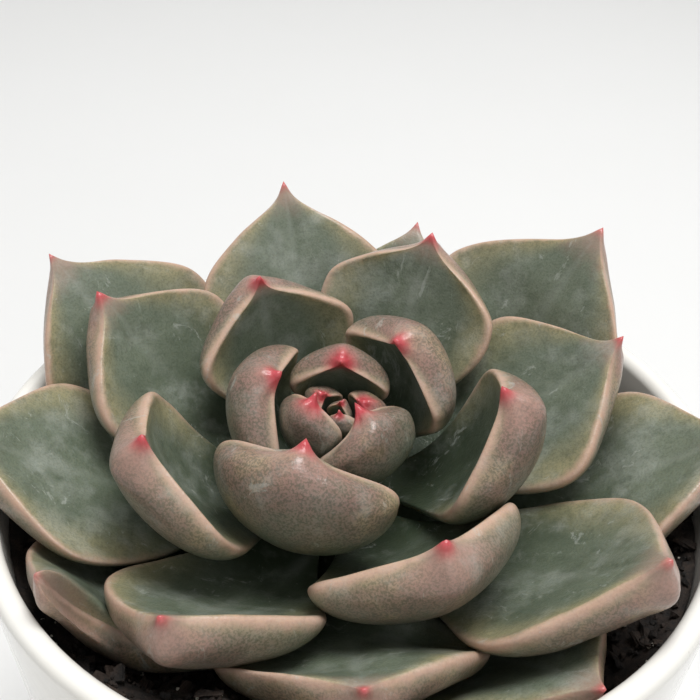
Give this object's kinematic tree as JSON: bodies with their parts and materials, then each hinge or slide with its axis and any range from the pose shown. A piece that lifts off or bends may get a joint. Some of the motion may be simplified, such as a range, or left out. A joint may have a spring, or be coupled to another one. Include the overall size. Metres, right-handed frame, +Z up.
{
  "type": "potted succulent",
  "caption": "Rosette succulent with thick, pointed, red-tipped leaves, planted in soil in a round glazed pot that stands on a flat base.",
  "frame": {"origin": "centre of the pot's flat underside", "axes": "+Z up along the pot's axis, -Y towards the front, +X to the right seen from the front"},
  "size_m": [0.0971, 0.096, 0.1023],
  "materials": {
    "pot_glaze": "smooth gloss glaze, off-white",
    "soil": "loose dark potting mix, matt, with a few pale grains",
    "stem": "dry, ringed by old leaf scars, matt",
    "leaf_inner": "fleshy, waxy satin, mauve-pink over green with a red point",
    "leaf_outer": "fleshy, powdery satin, grey-green with a salmon margin and a red point"
  },
  "bodies": {
    "root": {"pot": "pot_glaze", "soil": "soil", "stem": "stem", "leaf_01": "leaf_inner", "leaf_02": "leaf_inner", "leaf_03": "leaf_inner", "leaf_04": "leaf_inner", "leaf_05": "leaf_inner", "leaf_06": "leaf_inner", "leaf_07": "leaf_inner", "leaf_08": "leaf_inner", "leaf_09": "leaf_inner", "leaf_10": "leaf_inner", "leaf_11": "leaf_inner", "leaf_12": "leaf_inner", "leaf_13": "leaf_outer", "leaf_14": "leaf_outer", "leaf_15": "leaf_outer", "leaf_16": "leaf_outer", "leaf_17": "leaf_outer", "leaf_18": "leaf_outer", "leaf_19": "leaf_outer", "leaf_20": "leaf_outer", "leaf_21": "leaf_outer", "leaf_22": "leaf_outer", "leaf_23": "leaf_outer", "leaf_24": "leaf_outer", "leaf_25": "leaf_outer", "leaf_26": "leaf_outer", "leaf_27": "leaf_outer", "leaf_28": "leaf_outer"}
  },
  "joints": []
}
